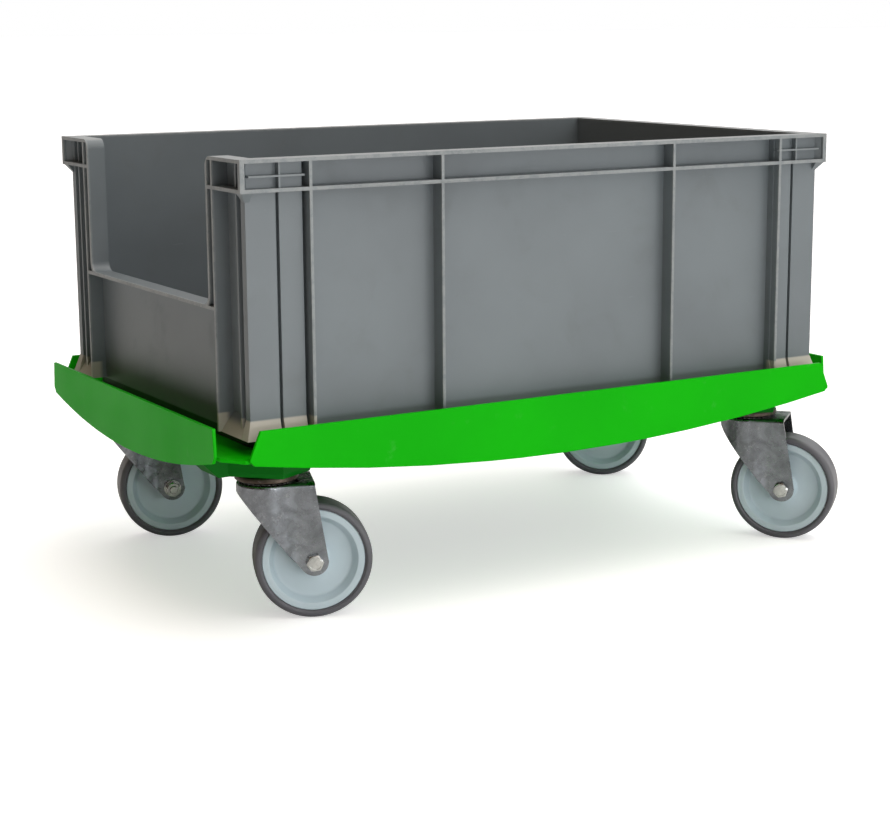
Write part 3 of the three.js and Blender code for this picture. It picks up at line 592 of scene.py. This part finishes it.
def lean(x, z):
    """How far a leg has come in below the crown."""
    along = min(max((x - LEAN_FROM_X) / (LEAN_TO_X - LEAN_FROM_X), 0), 1)
    down = min(max((FORK_TOP - z) / (FORK_TOP - LEAN_START), 0), 1)
    return (CROWN_LEG_HALF - LEG_OUTER) * along * along * (3 - 2 * along) * down


def lower_end(x, share):
    """The point (x, z) where the sheet ends; "share" runs from 0 to 1 along the flat leg."""
    front = Vector((-CROWN_RADIUS - 1 * MM, FORK_TOP - SKIRT))
    axle = Vector((TRAIL, AXLE_HEIGHT))
    away = front - axle
    tangent = math.atan2(away.y, away.x) + math.acos(FORK_TIP / away.length)
    touch = axle + Vector((math.cos(tangent), math.sin(tangent))) * FORK_TIP
    if share <= 0:
        return front.lerp(touch, (x - front.x) / (touch.x - front.x))
    begin = front.lerp(touch, (LEG_FLAT_X - front.x) / (touch.x - front.x))
    straight = (touch - begin).length
    wanted = share * (straight + (2 * math.pi - tangent) * FORK_TIP)
    if wanted < straight:
        return begin.lerp(touch, wanted / straight)
    turn = tangent + (wanted - straight) / FORK_TIP
    return axle + Vector((math.cos(turn), math.sin(turn))) * FORK_TIP


def fork_column(x, y, outward):
    """The sheet's points from the crown's middle, over its edge and down its side."""
    crown_steps = 5
    edge_steps = 6
    wall_steps = 22
    share = max((x - LEG_FLAT_X) / (FORK_BACK - LEG_FLAT_X), 0)
    spine_x = min(max(x + 6 * MM, SPINE_FRONT), FORK_BACK)
    inner = Vector((x, y)) - outward * CROWN_EDGE
    column = []
    for k in range(crown_steps):
        p = Vector((spine_x, 0)).lerp(inner, k / crown_steps)
        column.append((p.x, p.y, FORK_TOP))
    for k in range(edge_steps + 1):
        turn = math.pi / 2 * k / edge_steps
        p = inner + outward * (CROWN_EDGE * math.sin(turn))
        column.append((p.x, p.y, FORK_TOP - CROWN_EDGE * (1 - math.cos(turn))))
    top = Vector((x, FORK_TOP - CROWN_EDGE))
    low = lower_end(x, share)
    for k in range(1, wall_steps + 1):
        p = top.lerp(low, k / wall_steps)
        column.append((p.x if share > 0 else x, y - lean(x, p.y), p.y))
    return column


def fork(name):
    """A pressed sheet: flat crown, rounded edge, then the skirt and the legs down to their tips."""
    outline = half_plan(24)
    leg_start = (LEG_FLAT_X, CROWN_LEG_HALF)
    front_part = [p for p in outline if p[0] < LEG_FLAT_X] + [leg_start]
    back_part = [leg_start, (FORK_BACK, CROWN_LEG_HALF)]
    plan = resampled(front_part, 44) + resampled(back_part, 36)[1:]
    count = len(plan)
    columns = []
    for i, (x, y) in enumerate(plan):
        ahead = Vector(plan[min(i + 1, count - 1)]) - Vector(plan[max(i - 1, 0)])
        outward = Vector((-ahead.y, ahead.x)).normalized() if i else Vector((-1, 0))
        columns.append(fork_column(x, y, outward))
    left = [point for column in columns for point in column]
    right = [(x, -y, z) for x, y, z in left]
    faces = grid_faces(count, len(columns[0]))
    halves = [(left, faces), (right, [face[::-1] for face in faces])]
    made = joined("fork_sheet_" + name, halves, ZINC, 50)
    face_outwards(made)
    made.data.shade_smooth()
    thick = made.modifiers.new("sheet", "SOLIDIFY")
    thick.thickness = FORK_SHEET
    thick.offset = -1
    thick.use_even_offset = True
    rounded(made, 0.5 * MM, 2, 60)
    return place(made, castor_matrix(name), "swivel_" + name, "zinc_plate", "fork_" + name)


def face_outwards(made):
    """Joins the fork's halves along the middle and turns its crown's faces up."""
    bm = bmesh.new()
    bm.from_mesh(made.data)
    bmesh.ops.remove_doubles(bm, verts=bm.verts, dist=2e-5)
    bmesh.ops.dissolve_degenerate(bm, edges=bm.edges, dist=1e-6)
    bmesh.ops.recalc_face_normals(bm, faces=bm.faces)
    crown = [f for f in bm.faces if f.calc_center_median().z > FORK_TOP - 1e-5]
    if crown and sum(f.normal.z for f in crown) < 0:
        bmesh.ops.reverse_faces(bm, faces=bm.faces)
    bm.to_mesh(made.data)
    bm.free()


def hex_piece(across, low, high, hole, chamfer_low, segments=72):
    """A six-sided nut or bolt head with turned-off corners, about Z, as (verts, faces)."""
    flat = across / 2
    circle = flat * HEX_FACE

    def hex_radius(turn):
        return flat / math.cos((turn + math.pi / 6) % (math.pi / 3) - math.pi / 6)

    rows = []
    for level in range(6):
        row = []
        for i in range(segments):
            turn = 2 * math.pi * i / segments
            out = hex_radius(turn)
            drop = (out - circle) * math.tan(HEX_SLOPE)
            if level == 0:
                radius, z = hole, low
            elif level == 1:
                radius, z = (circle if chamfer_low else out - HEX_EDGE), low
            elif level == 2:
                radius, z = out, low + (drop if chamfer_low else HEX_EDGE)
            elif level == 3:
                radius, z = out, high - drop
            elif level == 4:
                radius, z = circle, high
            else:
                radius, z = hole, high
            row.append((radius * math.cos(turn), radius * math.sin(turn), z))
        rows.append(row)
    verts = [v for row in rows for v in row]
    return verts, grid_faces(6, segments, closed_rows=hole > 0, closed_columns=True)


def threaded_end(radius, low, high, pitch, segments=40):
    """A stretch of thread as rings, closed by a chamfered end, as (verts, faces)."""
    profile = [(0.0, low)]
    z = low
    while z < high - pitch:
        profile += [(radius, z), (radius - THREAD_DEPTH, z + pitch / 2)]
        z += pitch
    profile += [(radius - THREAD_CHAMFER, high), (0.0, high)]
    return turned(profile, segments)


def upside_down(piece):
    """A piece turned half round about X, as (verts, faces)."""
    verts, faces = piece
    return [(x, -y, -z) for x, y, z in verts], faces


def axle_pieces(name):
    turn = Matrix.Rotation(math.pi if name in NUT_ON_RIGHT else 0, 4, "X")
    where = wheel_matrix(name) @ turn
    twisted = where @ Matrix.Rotation(math.radians(BOLT_TWIST[name]), 4, "Z")
    body = "swivel_" + name
    face = LEG_OUTER + GAP
    axle_bolt(name, face, twisted, body)

    top = face + WASHER_THICKNESS
    washer = lathe(
        "axle_washer_body_" + name,
        [
            (AXLE_BORE, face),
            (WASHER_RADIUS - 0.2 * MM, face),
            (WASHER_RADIUS, face + WASHER_EDGE),
            (WASHER_RADIUS, top - WASHER_EDGE),
            (WASHER_RADIUS - 0.2 * MM, top),
            (AXLE_BORE, top),
        ],
        64, BRIGHT_ZINC,
    )
    place(washer, where, body, "bright_zinc", "axle_washer_" + name)

    nut_low = top + GAP
    piece = hex_piece(AXLE_HEX, nut_low, nut_low + AXLE_NUT, AXLE_NUT_BORE, True)
    nut = joined("axle_nut_body_" + name, [piece], BRIGHT_ZINC, 30)
    place(nut, twisted, body, "bright_zinc", "axle_nut_" + name)

    upper = [
        (SLEEVE_RADIUS, SLEEVE_HALF - SLEEVE_CHAMFER),
        (SLEEVE_RADIUS - SLEEVE_CHAMFER, SLEEVE_HALF),
        (AXLE_BORE, SLEEVE_HALF),
    ]
    sleeve = lathe("axle_sleeve_body_" + name, mirrored(upper), 48, BRIGHT_ZINC)
    place(sleeve, where, body, "bright_zinc", "axle_sleeve_" + name)


def axle_bolt(name, face, matrix, body):
    """The bolt: a six-sided head with a raised ring, its shank, and the thread at its end."""
    head_top = face + AXLE_HEAD
    head = upside_down(hex_piece(AXLE_HEX, face, head_top, 0.0, False))
    ring_top = head_top - 0.02 * MM
    dish = upside_down(turned([
        (0.0, ring_top),
        (DISH_RADIUS, ring_top),
        (DISH_RADIUS + 0.3 * MM, head_top + 0.12 * MM),
        (DISH_RIM, ring_top),
        (DISH_RIM, head_top - DISH_DEPTH),
        (0.0, head_top - DISH_DEPTH),
    ], 48))
    start = AXLE_THREAD_START + SHANK_OVERLAP
    shank = turned([(0.0, -face), (AXLE_RADIUS, -face), (AXLE_RADIUS, start), (0.0, start)], 40)
    end = face + WASHER_THICKNESS + GAP + AXLE_NUT + AXLE_PROUD
    thread = threaded_end(AXLE_RADIUS, AXLE_THREAD_START, end, AXLE_PITCH)
    bolt = joined("axle_bolt_body_" + name, [head, dish, shank, thread], BRIGHT_ZINC, 30)
    place(bolt, matrix, body, "bright_zinc", "axle_bolt_" + name)


def upper_race(name, fixed):
    lip_inner = RACE_RADIUS - RACE_LIP
    lip_bottom = RACE_BOTTOM - RACE_LIP
    race = lathe(
        "upper_race_body_" + name,
        [
            (KING_BORE, RACE_BOTTOM),
            (lip_inner, RACE_BOTTOM),
            (lip_inner, lip_bottom + 0.2 * MM),
            (lip_inner + 0.3 * MM, lip_bottom),
            (RACE_RADIUS - 0.4 * MM, lip_bottom),
            (RACE_RADIUS, lip_bottom + 0.4 * MM),
            (RACE_RADIUS, RACE_TOP - 1.4 * MM),
            (RACE_RADIUS - 0.5 * MM, RACE_TOP - 0.4 * MM),
            (RACE_RADIUS - 1.4 * MM, RACE_TOP),
            (KING_BORE, RACE_TOP),
        ],
        ROUND, DARK_ZINC,
    )
    place(race, fixed, "dolly", "zinc_plate", "upper_race_" + name)


def ball_ring(name):
    level = FORK_TOP + GAP + BALL_RADIUS
    shells = [turned([
        (CAGE_INNER, level - CAGE_HALF),
        (CAGE_OUTER, level - CAGE_HALF),
        (CAGE_OUTER, level + CAGE_HALF),
        (CAGE_INNER, level + CAGE_HALF),
    ])]
    for i in range(BALL_COUNT):
        turn = 2 * math.pi * i / BALL_COUNT
        centre = (BALL_CIRCLE * math.cos(turn), BALL_CIRCLE * math.sin(turn), level)
        shells.append(ball_shell(BALL_RADIUS, centre))
    balls = joined("ball_ring_body_" + name, shells, NYLON, 60)
    place(balls, castor_matrix(name), "swivel_" + name, "nylon", "ball_ring_" + name)


def king_bolt(name, fixed):
    head = upside_down(
        hex_piece(KING_HEX, -KING_HEAD_TOP, -KING_HEAD_TOP + KING_HEAD, 0.0, False)
    )
    low = KING_HEAD_TOP - KING_OVERLAP
    shank = turned(
        [(0.0, low), (KING_RADIUS, low), (KING_RADIUS, KING_SHANK_TOP), (0.0, KING_SHANK_TOP)], 48,
    )
    thread = threaded_end(KING_RADIUS, KING_THREAD_START, KING_END, KING_PITCH, 48)
    bolt = joined("king_bolt_body_" + name, [head, shank, thread], BRIGHT_ZINC, 30)
    place(bolt, fixed, "dolly", "bright_zinc", "king_bolt_" + name)

    nut_top = KING_NUT_BASE + KING_NUT
    piece = hex_piece(KING_NUT_HEX, KING_NUT_BASE, nut_top, KING_NUT_BORE, True)
    nut = joined("king_nut_body_" + name, [piece], BRIGHT_ZINC, 30)
    place(nut, fixed, "dolly", "bright_zinc", "king_nut_" + name)


def head_pieces(name):
    """The swivel head's upper race, its balls, and the king bolt with its nut."""
    fixed = Matrix.Translation(castor_matrix(name).translation)
    upper_race(name, fixed)
    ball_ring(name)
    king_bolt(name, fixed)


def ball_shell(radius, centre, rings=8, segments=14):
    """A ball from rings of points, as (verts, faces)."""
    verts = []
    for k in range(rings + 1):
        tilt = math.pi * k / rings
        out = radius * math.sin(tilt)
        height = centre[2] - radius * math.cos(tilt)
        for i in range(segments):
            turn = 2 * math.pi * i / segments
            verts.append((centre[0] + out * math.cos(turn), centre[1] + out * math.sin(turn), height))
    return verts, grid_faces(rings + 1, segments, closed_columns=True)


for castor in PLACES:
    tyre(castor)
    hub(castor)
    fork(castor)
    axle_pieces(castor)
    head_pieces(castor)


# ---- Dolly frame and container: CAD nodes with rounded edges ---------------------------------


PAINTED = ("deck_frame", "right_side_plate", "left_side_plate", "front_end_plate", "back_end_plate")


def carried_over(node, material, width, segments=2):
    """A CAD node with its flat faces whole again and its edges rounded."""
    made = frame["nodes"][node]
    made.data.materials.clear()
    made.data.materials.append(material)
    weld = made.modifiers.new("weld", "WELD")
    weld.merge_threshold = 0.01 * MM
    flat = made.modifiers.new("flat faces", "DECIMATE")
    flat.decimate_type = "DISSOLVE"
    flat.angle_limit = math.radians(1)
    return rounded(made, width, segments, angle=25)


for node in PAINTED:
    carried_over(node, PAINT, 0.6 * MM)
# The corner brackets take the darker green: painted shade.
for corner in PLACES:
    carried_over("corner_bracket_" + corner, SHADED_GREEN_PAINT, 1.3 * MM, 3)
carried_over("container", PLASTIC, 0.5 * MM)

RIM_WEB_HALF = 0.9 * MM  # half of its thickness
RIM_WEB_NEAR = 3 * MM  # from the rim's corner, along X and along Y
RIM_WEB_FAR = 8.5 * MM
RIM_WEB_BOTTOM = 25.5 * MM  # below the rim's top
RIM_WEB_TOP = 1.5 * MM


def rim_corner_web(name):
    """A thin web between the rim's ledges, from the corner post to the rim's corner."""
    along_x = -1 if name.startswith("front") else 1
    along_y = 1 if name.endswith("left") else -1
    x = box_high.x if along_x > 0 else box_low.x
    y = box_high.y if along_y > 0 else box_low.y
    inward = Vector((-along_x, -along_y))
    across = Vector((-along_y, along_x)).normalized() * RIM_WEB_HALF
    near = Vector((x, y)) + inward * RIM_WEB_NEAR
    far = Vector((x, y)) + inward * RIM_WEB_FAR
    low = box_high.z - RIM_WEB_BOTTOM
    high = box_high.z - RIM_WEB_TOP
    verts = []
    for z in (low, (low + high) / 2, high):
        for p in (near + across, near - across, far - across, far + across):
            verts.append((p.x, p.y, z))
    faces = grid_faces(3, 4, closed_columns=True) + [(0, 1, 2, 3), (8, 9, 10, 11)]
    made = new_object("rim_corner_web_" + name, verts, faces, PLASTIC)
    rounded(made, 0.3 * MM, 2, 30)
    place(made, Matrix.Identity(4), "container", "container_plastic")


for corner in PLACES:
    rim_corner_web(corner)


# ---- Stage: floor, light and camera ----------------------------------------------------------


WHITE = (1, 1, 1, 1)
WARM = (1.0, 0.72, 0.5, 1)
FLOOR_HALF = 60.0
LIGHTS = (  # name, place, target, size, power, colour
    ("top", (0.4, -0.5, 2.6), (0, 0, 0.2), (2.6, 2.2), 16, (1.0, 0.96, 0.9)),
    ("side", (-0.7, -2.2, 1.0), (-0.35, 0, 0.25), (0.9, 1.2), 4.5, (0.92, 0.97, 1.0)),
    ("low", (0.5, -2.4, 0.22), (0.1, 0, 0.05), (2.2, 0.3), 12, (0.95, 0.98, 1.0)),
)
CAMERA_EYE = Vector((-0.9402, -1.5943, 0.4936))  # from the floor under the dolly's middle
CAMERA_ANGLES = (30.68, 11.31, -0.37)  # yaw, pitch and roll, in degrees
CAMERA_LENS = 78.97
SENSOR_WIDTH = 36


def floor_look():
    """A pale floor that adds some white of its own where the camera sees it."""
    look = Look("floor")
    clouds = look.noise(3, 3)
    tone = look.mix(clouds, (0.86, 0.86, 0.86, 1), (0.9, 0.9, 0.9, 1))
    seen = look.node("ShaderNodeLightPath").outputs["Is Camera Ray"]
    glow = look.math("MULTIPLY", seen, 0.5)
    look.finish(Base_Color=tone, Roughness=0.6, Specular_IOR_Level=0.3)
    return look.finish(Emission_Color=WHITE, Emission_Strength=glow)


def stage_floor():
    half = FLOOR_HALF
    corners = [(-half, -half, 0), (half, -half, 0), (half, half, 0), (-half, half, 0)]
    new_object("floor", corners, [(0, 1, 2, 3)], floor_look())


def area_light(name, place_at, target, size, power, colour):
    data = bpy.data.lights.new(name, "AREA")
    data.shape = "RECTANGLE"
    data.size, data.size_y = size
    data.energy = power
    data.color = colour
    made = bpy.data.objects.new(name, data)
    bpy.context.scene.collection.objects.link(made)
    made.location = place_at
    made.rotation_mode = "QUATERNION"
    made.rotation_quaternion = (Vector(target) - Vector(place_at)).to_track_quat("-Z", "Y")


def sky():
    """Light by direction: bright above, dim and warm at the front end; the camera sees white."""
    world = bpy.data.worlds.new("studio")
    bpy.context.scene.world = world
    world.use_nodes = True
    tree = Tree(world.node_tree)
    x, _, z = tree.split(tree.node("ShaderNodeTexCoord").outputs["Generated"])
    above = tree.levels(z, 0.0, 0.95, 0.62, 1.9)
    front_end = tree.levels(x, -0.45, 0.4, 0.12, 1.0)
    strength = tree.math("MULTIPLY", above, front_end)
    seen = tree.node("ShaderNodeLightPath").outputs["Is Camera Ray"]
    both = tree.node("ShaderNodeMix", Factor=seen, A=strength, B=1.0)
    tint = tree.mix(seen, tree.mix(front_end, WARM, WHITE), WHITE)
    background = world.node_tree.nodes["Background"]
    tree.set(background.inputs["Strength"], both.outputs["Result"])
    tree.set(background.inputs["Color"], tint)


def studio():
    sky()
    for light in LIGHTS:
        area_light(*light)
    bpy.context.scene.view_settings.view_transform = "Standard"


def photo_camera():
    """The camera, from its place and its three angles."""
    yaw, pitch, roll = (math.radians(angle) for angle in CAMERA_ANGLES)
    level = math.cos(pitch)
    forward = Vector((math.sin(yaw) * level, math.cos(yaw) * level, -math.sin(pitch)))
    right = Vector((math.cos(yaw), -math.sin(yaw), 0))
    up = right.cross(forward)
    side = right * math.cos(roll) + up * math.sin(roll)
    top = up * math.cos(roll) - right * math.sin(roll)
    data = bpy.data.cameras.new("camera")
    data.sensor_width = SENSOR_WIDTH
    data.lens = CAMERA_LENS
    data.clip_end = 100
    made = bpy.data.objects.new("camera", data)
    bpy.context.scene.collection.objects.link(made)
    turn = Matrix((side, top, -forward)).transposed().to_4x4()
    made.matrix_world = Matrix.Translation(DOLLY_MIDDLE + CAMERA_EYE) @ turn
    bpy.context.scene.camera = made


stage_floor()
studio()
photo_camera()
